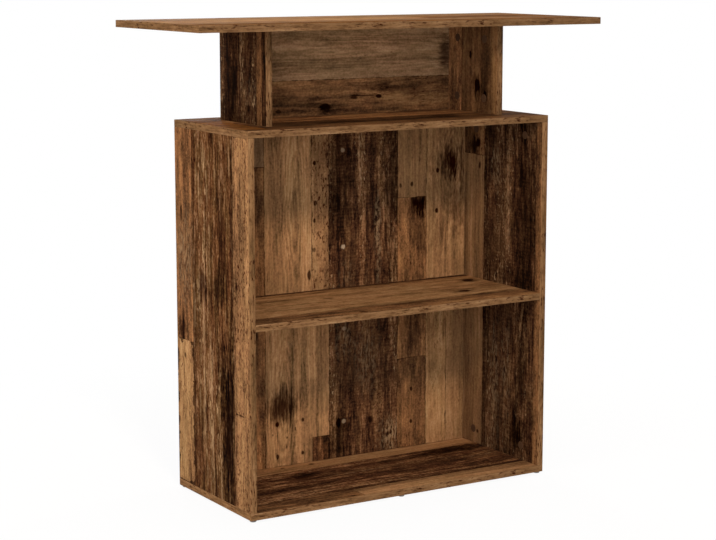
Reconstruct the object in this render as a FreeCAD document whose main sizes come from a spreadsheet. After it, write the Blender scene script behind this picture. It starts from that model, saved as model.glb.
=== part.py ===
import FreeCAD, Part
import os
import Sketcher
from FreeCAD import Placement, Rotation, Vector

# Reception desk: an open chipboard cabinet with one shelf, a narrower riser on it and a counter on top.
# X runs along the counter, Y from the open working side to the visitor's side, Z up from the floor.
# The boards are joined by dowels and by cam nuts that grip the heads of bolts, as in flat-pack furniture.

# Driving dimensions, millimetres
DIMENSIONS = {
    "desk_height": 1035,
    "board": 15,
    "counter_length": 1000,
    "counter_depth": 390,
    "riser_height": 200,
    "riser_end_inset": 79,
    "riser_edge_inset": 65,
    "cabinet_width": 758,
    "cabinet_depth": 335,
    "lower_opening": 385.5,
    "back_recess": 20,
    "fit_gap": 0.1,
    "end_gap": 0.5,
    "dowel_diameter": 8,
    "dowel_in_face": 10,
    "dowel_in_edge": 20,
    "dowel_chamfer": 1,
    "dowel_spacing": 32,
    "riser_back_dowel_spread": 400,
    "back_dowel_spacing": 280,
    "cam_diameter": 15,
    "cam_skin": 2,
    "cam_sink": 0.3,
    "cam_distance": 34,
    "cam_front_inset": 65,
    "cam_rear_inset": 80,
    "riser_cam_inset": 50,
    "cam_throw": 1.1,
    "cam_play": 0.2,
    "cam_drive_width": 1.4,
    "cam_drive_length": 6,
    "cam_drive_depth": 1.5,
    "bolt_thread_diameter": 6,
    "bolt_thread_length": 11,
    "bolt_shank_diameter": 7,
    "bolt_neck_diameter": 3.6,
    "bolt_neck_length": 8,
    "bolt_head_diameter": 6,
    "bolt_head_length": 2.5,
    "cover_diameter": 18,
    "cover_thickness": 0.8,
    "cover_chamfer": 0.3,
    "glide_diameter": 14,
    "glide_height": 4,
    "glide_inset": 10,
    "glide_chamfer": 1.2,
    "nail_diameter": 2.4,
    "nail_depth": 11,
    "nail_point": 3,
    "nail_head_diameter": 6,
    "nail_head_length": 1,
    "nail_cover": 1.2,
}

doc = FreeCAD.newDocument("reception_desk")
sizes = doc.addObject("Spreadsheet::Sheet", "sizes")
for row, (name, value) in enumerate(DIMENSIONS.items(), start=1):
    sizes.set(f"A{row}", name)
    sizes.set(f"B{row}", str(value))
    sizes.setAlias(f"B{row}", name)
doc.recompute()

# Levels above the floor
BOTTOM_LOW = "sizes.glide_height"
BOTTOM_HIGH = f"({BOTTOM_LOW} + sizes.board)"
SHELF_LOW = f"({BOTTOM_HIGH} + sizes.lower_opening)"
SHELF_MIDDLE = f"({SHELF_LOW} + sizes.board / 2)"
COUNTER_LOW = "(sizes.desk_height - sizes.board)"
CABINET_HIGH = f"({COUNTER_LOW} - sizes.riser_height)"
CABINET_TOP_LOW = f"({CABINET_HIGH} - sizes.board)"

# Stations in depth, from the open front to the rear
COUNTER_REAR = "(sizes.counter_depth / 2)"
COUNTER_FRONT = f"(-{COUNTER_REAR})"
CABINET_REAR = "(sizes.cabinet_depth / 2)"
CABINET_FRONT = f"(-{CABINET_REAR})"
BACK_OUTER = f"({CABINET_REAR} - sizes.back_recess)"
BACK_MIDDLE = f"({BACK_OUTER} - sizes.board / 2)"
BACK_INNER = f"({BACK_OUTER} - sizes.board)"
RISER_REAR = f"({CABINET_REAR} - sizes.riser_edge_inset)"
RISER_FRONT = f"(-{RISER_REAR})"
RISER_BACK_MIDDLE = f"({RISER_REAR} - sizes.board / 2)"
CAM_FRONT = f"({CABINET_FRONT} + sizes.cam_front_inset)"
CAM_REAR = f"({CABINET_REAR} - sizes.cam_rear_inset)"
CAM_MIDDLE = f"(({CAM_FRONT} + {CAM_REAR}) / 2)"
DOWEL_FRONT = f"({CAM_FRONT} - sizes.dowel_spacing)"
DOWEL_REAR = f"({CAM_REAR} + sizes.dowel_spacing)"
RISER_CAM_FRONT = f"({RISER_FRONT} + sizes.riser_cam_inset)"
RISER_CAM_REAR = f"({RISER_REAR} - sizes.riser_cam_inset)"
GLIDE_FRONT = f"({CABINET_FRONT} + sizes.glide_inset)"
GLIDE_REAR = f"({CABINET_REAR} - sizes.glide_inset)"

# Drilled sizes, each from the piece that goes in and its clearance
DOWEL_HOLE = "(sizes.dowel_diameter + 2 * sizes.fit_gap)"
THREAD_HOLE = "(sizes.bolt_thread_diameter + 2 * sizes.fit_gap)"
SHANK_HOLE = "(sizes.bolt_shank_diameter + 2 * sizes.fit_gap)"
NAIL_HOLE = "(sizes.nail_diameter + 2 * sizes.fit_gap)"
CAM_DEPTH = "(sizes.board - sizes.cam_skin)"

RIGHTWARD = Vector(1, 0, 0)
LEFTWARD = Vector(-1, 0, 0)
REARWARD = Vector(0, 1, 0)
UPWARD = Vector(0, 0, 1)
DOWNWARD = Vector(0, 0, -1)
SIDES = ((-1, "left", RIGHTWARD), (1, "right", LEFTWARD))


def number(expression):
    """Present value of an expression on the sheet."""
    return float(sizes.evalExpression(expression))


def plane_sketch(body, name, role, height):
    """Empty sketch on one of the body's own origin planes, raised along the plane's normal."""
    plane = next(item for item in body.Origin.OriginFeatures if item.Role == role)
    sketch = body.newObject("Sketcher::SketchObject", name)
    sketch.AttachmentSupport = [(plane, "")]
    sketch.MapMode = "FlatFace"
    sketch.setExpression("AttachmentOffset.Base.z", height)
    return sketch


def fix_point(sketch, item, place, point):
    """Hold a point of the sketch at the two coordinates given as expressions."""
    for kind, expression in zip(("DistanceX", "DistanceY"), point):
        held = sketch.addConstraint(Sketcher.Constraint(kind, item, place, number(expression)))
        sketch.setExpression(f"Constraints[{held}]", expression)


def polygon(sketch, points):
    """Closed outline of straight edges."""
    corners = [Vector(number(across), number(along), 0) for across, along in points]
    for start, end in zip(corners, corners[1:] + corners[:1]):
        sketch.addGeometry(Part.LineSegment(start, end), False)
    for edge, point in enumerate(points):
        following = (edge + 1) % len(points)
        sketch.addConstraint(Sketcher.Constraint("Coincident", edge, 2, following, 1))
        fix_point(sketch, edge, 1, point)


def rectangle(sketch, left, right, low, high):
    polygon(sketch, ((left, low), (right, low), (right, high), (left, high)))


def circles(sketch, centres, diameter):
    """Circles of one diameter."""
    for centre in centres:
        middle = Vector(number(centre[0]), number(centre[1]), 0)
        item = sketch.addGeometry(Part.Circle(middle, UPWARD, number(diameter) / 2), False)
        fix_point(sketch, item, 3, centre)
        width = sketch.addConstraint(Sketcher.Constraint("Diameter", item, number(diameter)))
        sketch.setExpression(f"Constraints[{width}]", diameter)


def pad(body, sketch, length, name):
    feature = body.newObject("PartDesign::Pad", name)
    feature.Profile = sketch
    feature.setExpression("Length", length)
    return feature


def pocket(body, sketch, length, name, along_normal=False, both_ways=False):
    feature = body.newObject("PartDesign::Pocket", name)
    feature.Profile = sketch
    feature.Reversed = along_normal
    feature.Midplane = both_ways
    feature.setExpression("Length", length)
    return feature


def turned(body, name, points):
    """Solid of revolution about Z: each point is a radius and a height."""
    sketch = plane_sketch(body, f"{name}_profile", "XZ_Plane", "0")
    polygon(sketch, points)
    feature = body.newObject("PartDesign::Revolution", f"{name}_turned")
    feature.Profile = sketch
    feature.ReferenceAxis = (sketch, ["V_Axis"])
    feature.Angle = 360
    return feature


def new_body(label):
    body = doc.addObject("PartDesign::Body", label)
    body.Label = label
    return body


def lying_board(label, x_low, x_high, y_low, y_high, z_low):
    """Level board."""
    body = new_body(label)
    sketch = plane_sketch(body, f"{label}_outline", "XY_Plane", z_low)
    rectangle(sketch, x_low, x_high, y_low, y_high)
    pad(body, sketch, "sizes.board", f"{label}_board")
    return body


def side_board(label, x_low, y_low, y_high, z_low, z_high):
    """Upright board that faces left and right."""
    body = new_body(label)
    sketch = plane_sketch(body, f"{label}_outline", "YZ_Plane", x_low)
    rectangle(sketch, y_low, y_high, z_low, z_high)
    pad(body, sketch, "sizes.board", f"{label}_board")
    return body


def facing_board(label, x_low, x_high, y_high, z_low, z_high):
    """Upright board that faces front and rear; its sketch plane looks forward."""
    body = new_body(label)
    sketch = plane_sketch(body, f"{label}_outline", "XZ_Plane", f"-{y_high}")
    rectangle(sketch, x_low, x_high, z_low, z_high)
    pad(body, sketch, "sizes.board", f"{label}_board")
    return body


def drill(body, name, entries, direction, diameter, depth):
    """Round blind holes that start at the entry points and run along X or Z."""
    if direction.x:
        sketch = plane_sketch(body, f"{name}_centres", "YZ_Plane", entries[0][0])
        circles(sketch, [(y, z) for x, y, z in entries], diameter)
    else:
        sketch = plane_sketch(body, f"{name}_centres", "XY_Plane", entries[0][2])
        circles(sketch, [(x, y) for x, y, z in entries], diameter)
    pocket(body, sketch, depth, name, along_normal=direction.x + direction.z > 0)


fasteners = {}


def fasten(group, master, point, z_axis, x_axis):
    """One more copy of a fastener in a group, its own axis along z_axis."""
    copies = fasteners.setdefault(group, [])
    copy = doc.addObject("App::Link", f"{group}_{len(copies) + 1}")
    copy.LinkedObject = master
    copy.Placement = Placement(Vector(), Rotation(x_axis, z_axis.cross(x_axis), z_axis, "ZXY"))
    for axis, expression in zip("xyz", point):
        copy.setExpression(f"Placement.Base.{axis}", expression)
    copies.append(copy)


def shifted(point, direction, distance):
    """The point moved along a coordinate direction by an expression's length."""
    return tuple(
        f"({expression} + {int(step)} * {distance})" if step else expression
        for expression, step in zip(point, direction)
    )


# Masters of the fasteners, each about its own axis; the group nodes hold placed copies of them

# Dowel: height 0 is the joint between the two boards
dowel = new_body("dowel")
DOWEL_RADIUS = "sizes.dowel_diameter / 2"
DOWEL_END_RADIUS = f"({DOWEL_RADIUS} - sizes.dowel_chamfer)"
turned(dowel, "dowel", (
    ("0", "-sizes.dowel_in_face"),
    (DOWEL_END_RADIUS, "-sizes.dowel_in_face"),
    (DOWEL_RADIUS, "-sizes.dowel_in_face + sizes.dowel_chamfer"),
    (DOWEL_RADIUS, "sizes.dowel_in_edge - sizes.dowel_chamfer"),
    (DOWEL_END_RADIUS, "sizes.dowel_in_edge"),
    ("0", "sizes.dowel_in_edge"),
))

# Cam bolt: threaded below height 0, where its shoulder sits on the board, with a head on a thin neck
cam_bolt = new_body("cam_bolt")
THREAD_RADIUS = "sizes.bolt_thread_diameter / 2"
SHANK_RADIUS = "sizes.bolt_shank_diameter / 2"
NECK_RADIUS = "sizes.bolt_neck_diameter / 2"
HEAD_RADIUS = "sizes.bolt_head_diameter / 2"
HEAD_LOW = "(sizes.cam_distance - sizes.bolt_head_length)"
NECK_LOW = f"({HEAD_LOW} - sizes.bolt_neck_length)"
turned(cam_bolt, "cam_bolt", (
    ("0", "-sizes.bolt_thread_length"),
    (NECK_RADIUS, "-sizes.bolt_thread_length"),
    (THREAD_RADIUS, f"-sizes.bolt_thread_length + {THREAD_RADIUS} - {NECK_RADIUS}"),
    (THREAD_RADIUS, "0"),
    (SHANK_RADIUS, "0"),
    (SHANK_RADIUS, NECK_LOW),
    (NECK_RADIUS, NECK_LOW),
    (NECK_RADIUS, HEAD_LOW),
    (HEAD_RADIUS, HEAD_LOW),
    (HEAD_RADIUS, "sizes.cam_distance"),
    ("0", "sizes.cam_distance"),
))

# Cam nut: height 0 is the face of the board, the bolt comes in along X at mid thickness.
# The chamber is a circle set off centre, so that its wall closes on the underside of the bolt's head.
# The head enters by the mouth opposite, and the slit lets the neck pass while the nut turns to lock.
cam_nut = new_body("cam_nut")
CAM_RADIUS = "(sizes.cam_diameter / 2 - sizes.fit_gap)"
BOLT_LEVEL = "(-sizes.board / 2)"
SLIT_HEIGHT = "(sizes.bolt_neck_diameter + 2 * sizes.cam_play)"
MOUTH_HEIGHT = "(sizes.bolt_head_diameter + 2 * sizes.cam_play)"
SEAT_HALF_WIDTH = f"sqrt(({HEAD_RADIUS})^2 - ({SLIT_HEIGHT} / 2)^2)"
SEAT_DISTANCE = "(sizes.cam_throw + sizes.bolt_head_length + sizes.fit_gap)"
CHAMBER_DIAMETER = f"(2 * sqrt({SEAT_DISTANCE}^2 + {SEAT_HALF_WIDTH}^2))"
CAM_REACH = "sizes.cam_diameter"
turned(cam_nut, "cam_nut", (
    ("0", f"-{CAM_DEPTH}"),
    (CAM_RADIUS, f"-{CAM_DEPTH}"),
    (CAM_RADIUS, "-sizes.cam_sink"),
    ("0", "-sizes.cam_sink"),
))
chamber = plane_sketch(cam_nut, "chamber_outline", "XY_Plane", BOLT_LEVEL)
circles(chamber, [("-sizes.cam_throw", "0")], CHAMBER_DIAMETER)
pocket(cam_nut, chamber, MOUTH_HEIGHT, "chamber", both_ways=True)
mouth = plane_sketch(cam_nut, "mouth_outline", "XY_Plane", BOLT_LEVEL)
rectangle(mouth, f"-{CAM_REACH}", "0", f"-{MOUTH_HEIGHT} / 2", f"{MOUTH_HEIGHT} / 2")
pocket(cam_nut, mouth, MOUTH_HEIGHT, "mouth", both_ways=True)
slit = plane_sketch(cam_nut, "slit_outline", "XY_Plane", BOLT_LEVEL)
polygon(slit, (
    ("0", "0"),
    ("0", f"-{MOUTH_HEIGHT} / 2"),
    (CAM_REACH, f"-{MOUTH_HEIGHT} / 2"),
    (CAM_REACH, CAM_REACH),
    (f"-{CAM_REACH}", CAM_REACH),
    (f"-{CAM_REACH}", "0"),
))
pocket(cam_nut, slit, SLIT_HEIGHT, "slit", both_ways=True)
drive = plane_sketch(cam_nut, "drive_outline", "XY_Plane", "-sizes.cam_sink")
ARM = "sizes.cam_drive_length / 2"
RIM = "sizes.cam_drive_width / 2"
polygon(drive, (
    (ARM, f"-{RIM}"),
    (ARM, RIM),
    (RIM, RIM),
    (RIM, ARM),
    (f"-{RIM}", ARM),
    (f"-{RIM}", RIM),
    (f"-{ARM}", RIM),
    (f"-{ARM}", f"-{RIM}"),
    (f"-{RIM}", f"-{RIM}"),
    (f"-{RIM}", f"-{ARM}"),
    (RIM, f"-{ARM}"),
    (RIM, f"-{RIM}"),
))
pocket(cam_nut, drive, "sizes.cam_drive_depth", "drive")

# Cover: a thin disc on the face of the board
cam_cover = new_body("cam_cover")
COVER_RADIUS = "sizes.cover_diameter / 2"
turned(cam_cover, "cam_cover", (
    ("0", "0"),
    (COVER_RADIUS, "0"),
    (COVER_RADIUS, "sizes.cover_thickness - sizes.cover_chamfer"),
    (f"{COVER_RADIUS} - sizes.cover_chamfer", "sizes.cover_thickness"),
    ("0", "sizes.cover_thickness"),
))

# Glide: a plastic foot moulded round the head of its nail, height 0 is the floor
glide = new_body("glide")
GLIDE_RADIUS = "sizes.glide_diameter / 2"
NAIL_RADIUS = "sizes.nail_diameter / 2"
NAIL_HEAD_RADIUS = "sizes.nail_head_diameter / 2"
NAIL_BORE = f"({NAIL_RADIUS} + sizes.fit_gap)"
HEAD_BORE = f"({NAIL_HEAD_RADIUS} + sizes.fit_gap)"
NAIL_HEAD_HIGH = "(sizes.nail_cover + sizes.nail_head_length)"
turned(glide, "glide", (
    ("0", "0"),
    (f"{GLIDE_RADIUS} - sizes.glide_chamfer", "0"),
    (GLIDE_RADIUS, "sizes.glide_chamfer"),
    (GLIDE_RADIUS, "sizes.glide_height"),
    (NAIL_BORE, "sizes.glide_height"),
    (NAIL_BORE, f"{NAIL_HEAD_HIGH} + sizes.fit_gap"),
    (HEAD_BORE, f"{NAIL_HEAD_HIGH} + sizes.fit_gap"),
    (HEAD_BORE, "sizes.nail_cover"),
    ("0", "sizes.nail_cover"),
))
glide_nail = new_body("glide_nail")
NAIL_TIP = "(sizes.glide_height + sizes.nail_depth)"
turned(glide_nail, "glide_nail", (
    ("0", "sizes.nail_cover"),
    (NAIL_HEAD_RADIUS, "sizes.nail_cover"),
    (NAIL_HEAD_RADIUS, NAIL_HEAD_HIGH),
    (NAIL_RADIUS, NAIL_HEAD_HIGH),
    (NAIL_RADIUS, f"{NAIL_TIP} - sizes.nail_point"),
    ("0", NAIL_TIP),
))

# Boards that lie level
COUNTER_END = "(sizes.counter_length / 2)"
countertop = lying_board(
    "countertop", f"-{COUNTER_END}", COUNTER_END, COUNTER_FRONT, COUNTER_REAR, COUNTER_LOW)
CABINET_END = "(sizes.cabinet_width / 2)"
cabinet_top = lying_board(
    "cabinet_top", f"-{CABINET_END}", CABINET_END, CABINET_FRONT, CABINET_REAR, CABINET_TOP_LOW)
bottom_panel = lying_board(
    "bottom_panel", f"-{CABINET_END}", CABINET_END, CABINET_FRONT, CABINET_REAR, BOTTOM_LOW)
INSIDE_END = f"({CABINET_END} - sizes.board)"
shelf = lying_board("shelf", f"-{INSIDE_END}", INSIDE_END, CABINET_FRONT, BACK_INNER, SHELF_LOW)

# Boards that face front and rear
back_panel = facing_board(
    "back_panel", f"-{INSIDE_END}", INSIDE_END, BACK_OUTER, BOTTOM_HIGH, CABINET_TOP_LOW)
RISER_END = f"({CABINET_END} - sizes.riser_end_inset)"
RISER_INSIDE_END = f"({RISER_END} - sizes.board)"
riser_back = facing_board(
    "riser_back", f"-{RISER_INSIDE_END}", RISER_INSIDE_END, RISER_REAR, CABINET_HIGH, COUNTER_LOW)


def dowel_joint(group, face_board, edge_board, joints, direction):
    """Dowels that stand in the face of one board and run along direction into the edge of the other."""
    name = f"{group}_{edge_board.Label}"
    edge_depth = "sizes.dowel_in_edge + sizes.end_gap"
    drill(face_board, f"{name}_face_holes", joints, -direction, DOWEL_HOLE, "sizes.dowel_in_face")
    drill(edge_board, f"{name}_edge_holes", joints, direction, DOWEL_HOLE, edge_depth)
    for joint in joints:
        fasten(group, dowel, joint, direction, REARWARD)


def cam_joint(group, cover_group, face_board, edge_board, joints, direction, outlook):
    """Bolts in the face of one board, gripped by cam nuts let into the other board's outlook face."""
    name = f"{group}_{edge_board.Label}_{face_board.Label}"
    thread_depth = "sizes.bolt_thread_length + sizes.end_gap"
    cams = [
        shifted(shifted(joint, direction, "sizes.cam_distance"), outlook, "sizes.board / 2")
        for joint in joints
    ]
    drill(face_board, f"{name}_thread_holes", joints, -direction, THREAD_HOLE, thread_depth)
    drill(edge_board, f"{name}_cam_holes", cams, -outlook, "sizes.cam_diameter", CAM_DEPTH)
    drill(edge_board, f"{name}_bolt_holes", joints, direction, SHANK_HOLE, "sizes.cam_distance")
    for joint, cam in zip(joints, cams):
        fasten(f"{group}_cam_bolts", cam_bolt, joint, direction, REARWARD)
        fasten(f"{group}_cam_nuts", cam_nut, cam, outlook, -direction)
        fasten(cover_group, cam_cover, cam, outlook, -direction)


# Upright sides with their joints to the level boards, left and right alike
for side, name, inward in SIDES:
    outer = f"({side} * {CABINET_END})"
    inner = f"({side} * {INSIDE_END})"
    middle = f"({side} * ({CABINET_END} - sizes.board / 2))"
    low_face = outer if side < 0 else inner
    cabinet_side = side_board(
        f"{name}_side", low_face, CABINET_FRONT, CABINET_REAR, BOTTOM_HIGH, CABINET_TOP_LOW)
    levels = (
        ("bottom", bottom_panel, BOTTOM_HIGH, UPWARD),
        ("cabinet_top", cabinet_top, CABINET_TOP_LOW, DOWNWARD),
    )
    for group, level_board, level, direction in levels:
        cam_joint(
            group, "side_cam_covers", level_board, cabinet_side,
            [(middle, CAM_FRONT, level), (middle, CAM_REAR, level)], direction, inward)
        dowel_joint(
            f"{group}_dowels", level_board, cabinet_side,
            [(middle, DOWEL_FRONT, level), (middle, DOWEL_REAR, level)], direction)
    cam_joint(
        "shelf", "shelf_cam_covers", cabinet_side, shelf,
        [(inner, CAM_FRONT, SHELF_MIDDLE), (inner, CAM_REAR, SHELF_MIDDLE)], inward, DOWNWARD)
    dowel_joint("shelf_dowels", cabinet_side, shelf, [(inner, CAM_MIDDLE, SHELF_MIDDLE)], inward)

    riser_outer = f"({side} * {RISER_END})"
    riser_inner = f"({side} * {RISER_INSIDE_END})"
    riser_middle = f"({side} * ({RISER_END} - sizes.board / 2))"
    riser_low_face = riser_outer if side < 0 else riser_inner
    riser_side = side_board(
        f"riser_{name}_side", riser_low_face, RISER_FRONT, RISER_REAR, CABINET_HIGH, COUNTER_LOW)
    riser_levels = (
        ("riser", cabinet_top, CABINET_HIGH, UPWARD),
        ("counter", countertop, COUNTER_LOW, DOWNWARD),
    )
    for group, level_board, level, direction in riser_levels:
        cam_joint(
            group, "riser_cam_covers", level_board, riser_side,
            [(riser_middle, RISER_CAM_FRONT, level), (riser_middle, RISER_CAM_REAR, level)],
            direction, inward)
        dowel_joint(f"{group}_dowels", level_board, riser_side, [(riser_middle, "0", level)], direction)

# The two backs are held at their upper and lower edges by dowels
back_stations = ("-sizes.back_dowel_spacing", "0", "sizes.back_dowel_spacing")
for level_board, level, direction in (
    (bottom_panel, BOTTOM_HIGH, UPWARD),
    (cabinet_top, CABINET_TOP_LOW, DOWNWARD),
):
    joints = [(across, BACK_MIDDLE, level) for across in back_stations]
    dowel_joint("back_panel_dowels", level_board, back_panel, joints, direction)
riser_back_stations = ("-sizes.riser_back_dowel_spread / 2", "sizes.riser_back_dowel_spread / 2")
for level_board, level, direction in (
    (cabinet_top, CABINET_HIGH, UPWARD),
    (countertop, COUNTER_LOW, DOWNWARD),
):
    joints = [(across, RISER_BACK_MIDDLE, level) for across in riser_back_stations]
    dowel_joint("riser_back_dowels", level_board, riser_back, joints, direction)

# Glides under the bottom panel: the corners and the middle of the front and rear edges
GLIDE_END = f"({CABINET_END} - sizes.glide_inset)"
glide_places = [
    (across, along, BOTTOM_LOW)
    for along in (GLIDE_FRONT, GLIDE_REAR)
    for across in (f"(-{GLIDE_END})", "0", GLIDE_END)
]
nail_hole_depth = "sizes.nail_depth + sizes.end_gap"
drill(bottom_panel, "glide_nail_holes", glide_places, UPWARD, NAIL_HOLE, nail_hole_depth)
for across, along, level in glide_places:
    fasten("glides", glide, (across, along, "0"), UPWARD, RIGHTWARD)
    fasten("glide_nails", glide_nail, (across, along, "0"), UPWARD, RIGHTWARD)

# Each group of like fasteners is one node
for group, copies in fasteners.items():
    compound = doc.addObject("Part::Compound", f"{group}_group")
    compound.Label = group
    compound.Links = copies

doc.recompute()

# A hole that removes less than this many cubic millimetres has missed its board
LEAST_CUT = 1
masters = (dowel, cam_bolt, cam_nut, cam_cover, glide, glide_nail)
bodies = [item for item in doc.Objects if item.TypeId == "PartDesign::Body" and item not in masters]
groups = [item for item in doc.Objects if item.TypeId == "Part::Compound"]

for item in doc.Objects:
    if "Invalid" in item.State or "Error" in item.State:
        raise RuntimeError(f"{item.Label} failed: {item.State}")
    if item.TypeId == "PartDesign::Pocket":
        if item.Shape.Volume > item.BaseFeature.Shape.Volume - LEAST_CUT:
            raise RuntimeError(f"{item.Label} cuts nothing")
for item in bodies + groups + list(masters):
    if item.Shape.isNull() or not item.Shape.isValid():
        raise RuntimeError(f"{item.Label} has no valid shape")

os.makedirs("parts", exist_ok=True)
for item in bodies + groups:
    item.Shape.exportStep(f"parts/{item.Label}.step")
    print(item.Label, len(item.Shape.Solids), round(item.Shape.Volume))
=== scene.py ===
import math

import bpy
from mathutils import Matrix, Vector


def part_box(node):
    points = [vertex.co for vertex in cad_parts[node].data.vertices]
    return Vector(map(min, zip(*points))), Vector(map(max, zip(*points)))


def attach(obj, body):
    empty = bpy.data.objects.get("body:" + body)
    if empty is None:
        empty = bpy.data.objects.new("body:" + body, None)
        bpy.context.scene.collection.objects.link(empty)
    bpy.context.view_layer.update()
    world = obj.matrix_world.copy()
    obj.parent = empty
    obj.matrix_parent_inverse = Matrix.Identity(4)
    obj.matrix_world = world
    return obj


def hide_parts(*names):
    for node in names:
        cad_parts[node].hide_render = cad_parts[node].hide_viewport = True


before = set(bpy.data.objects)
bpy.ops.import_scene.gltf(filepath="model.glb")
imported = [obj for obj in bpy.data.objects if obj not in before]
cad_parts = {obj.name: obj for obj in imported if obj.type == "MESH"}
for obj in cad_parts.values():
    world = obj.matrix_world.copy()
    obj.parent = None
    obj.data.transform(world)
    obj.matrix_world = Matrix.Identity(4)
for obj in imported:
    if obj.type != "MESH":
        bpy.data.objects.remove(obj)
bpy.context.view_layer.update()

MM = 0.001
X, Y, Z = 0, 1, 2
WHITE = (1, 1, 1, 1)

# The desk is made of 15 mm chipboard under a melamine foil that is printed with reclaimed planks.
# A face is laid out in millimetres from its low corner: across the grain first, then along it.
# The boards' edges are rounded by this much, in metres.
EDGE_ROUND = 0.0007
EDGE_ROUND_SEGMENTS = 2
SMOOTH_ANGLE = 50
# How closely a normal follows an axis on a board's faces, on its ends and on edges that face left or right.
FACE_NORMAL = 0.99
END_NORMAL = 0.5
SIDEWAYS_NORMAL = 0.9
# A plank edge this near to the end of a board, in millimetres, is the board's own.
CUT_MARGIN = 0.5
# Painted light: the edge band is this much paler on edges that face left or right, though the band is the
# same paper all round.
SIDEWAYS_EDGE_PAINTED_LIGHT = 1.38
# Each patch of a face shows this many of its stains and patches of painted shade, and as many of its marks.
SPOTS_PER_FACE = 5
# So far off, in millimetres or in a spot's own half widths, nothing shows of a seam, a ring or a spot.
FAR_AWAY = 900.0
# A spot of no strength, off every board.
NO_SPOT = (9 * FAR_AWAY, 9 * FAR_AWAY, 1.0, 1.0, 0.0)

# Sizes of the printed figure in millimetres: its width across the grain and its length along it.
DRIFT_SIZE = (45.0, 260.0)
BAND_LENGTH = 700.0
BAND_PER_STREAK = 4.5
SAW_MARK_SIZE = (40.0, 4.5)
SPECKLE_SIZE = (4.6, 5.5)
GREYED_SIZE = (22.0, 130.0)
CRACK_SIZE = (10.0, 230.0)
CLUSTER_SIZE = (60.0, 120.0)
FRAY_SIZE = (30.0, 26.0)
# Grain lines are a few tenths of a millimetre wide in life, and are drawn as wide as they need to show.
GRAIN_LINE_SIZE = (4.4, 42.0)

# How far the grain wanders sideways, and how far the growth rings stray and ruffle, in millimetres.
GRAIN_DRIFT = 22.0
RING_DRIFT = 34.0
RING_RUFFLE = 9.0
RING_SPACING = 7.5
# The rings are strongest up to the first distance from the heart, and are gone at the second.
RING_FADE = (10.0, 75.0)

# Noise keeps to both sides of its middle. Three noises added make the ragged rims of spots.
NOISE_MIDDLE = 0.5
RAGGED_MIDDLE = 3 * NOISE_MIDDLE
# The part of its noise over which each of these comes in, from none to full.
GREYED_RANGE = (0.44, 0.58)
CRACK_RANGE = (0.03, 0.0)
CLUSTER_RANGE = (0.4, 0.6)
PORE_RISE = 0.1
GRAIN_LINE_RANGE = (0.55, 0.63)
CHIP_RANGE = (0.59, 0.68)
CHIPPED_BAND_RANGE = (0.46, 0.6)
WEAR_RANGE = (0.44, 0.64)
SHEEN_RANGE = (0.3, 0.7)
# How uneven the rim of a spot is, and half its breadth: soft for stains and painted shade, sharper for nail
# heads and knots.
STAIN_AND_SHADE_RIM = (1.3, 0.7)
MARK_RIM = (0.8, 0.35)
# A seam's middle, as a share of how far it may fray, and half its breadth in millimetres.
SEAM_MIDDLE = 0.42
SEAM_HALF = 0.8
# Where a plank's four shades sit on its tone, from dark to pale.
SHADE_STOPS = (0.1, 0.38, 0.62, 0.9)

GREYED_TINT = "#e4efea"
SCRATCH_BROWN = "#6b3118"
# Stains, dark marks and patches of painted shade darken towards this brown.
STAIN_AND_SHADE_BROWN = "#432719"
SEAM_BROWN = "#452a1a"
CHIP_TAN = "#b3906a"
PALE_SPOT = "#b8a083"

# Matt pressed melamine: rough enough to blur every reflection, with next to no highlights.
FOIL_ROUGHNESS = 0.6
FOIL_ROUGHNESS_SWING = 0.07
FOIL_IOR = 1.5
FOIL_SPECULAR = 0.002
EMBOSS_STRENGTH = 0.25
EMBOSS_DEPTH = 0.0003


def linear(colour):
    """The linear colour, with alpha 1, of an sRGB hex value."""
    channels = []
    for start in (1, 3, 5):
        level = int(colour[start:start + 2], 16) / 255
        channels.append(level / 12.92 if level <= 0.04045 else ((level + 0.055) / 1.055) ** 2.4)
    return channels + [1.0]


def add(tree, kind, inputs=None, out=0, **settings):
    """Adds a node with its settings, links or sets its inputs, and gives one of its outputs. Sockets go by
    name or number: Map Range has its value at 0, what it maps from at 1 and 2 and what it maps to at 3 and 4,
    and a Mix of colours has its share at 0, the colours at 6 and 7 and the result at 2."""
    made = tree.nodes.new(kind)
    for name, value in settings.items():
        setattr(made, name, value)
    for socket, value in (inputs or {}).items():
        if isinstance(value, bpy.types.NodeSocket):
            tree.links.new(value, made.inputs[socket])
        else:
            made.inputs[socket].default_value = value
    return made.outputs[out]


def new_material(name):
    """An empty node material, its tree and its surface shader."""
    material = bpy.data.materials.new(name)
    material.use_nodes = True
    return material, material.node_tree, material.node_tree.nodes["Principled BSDF"]


def streaks(tree, place, size, detail=2.0, shift=0.0, swirl=0.0):
    """Noise drawn out along the grain, in streaks of about that size in millimetres. shift takes it from
    another part of the noise, and swirl distorts it."""
    width, length = size
    drawn = add(tree, "ShaderNodeVectorMath",
                {0: place, 1: (1 / width, 1 / length, 1.0), 2: (shift, shift, shift)},
                operation="MULTIPLY_ADD")
    return add(tree, "ShaderNodeTexNoise",
               {"Vector": drawn, "Scale": 1.0, "Detail": detail, "Roughness": 0.6, "Distortion": swirl})


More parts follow.
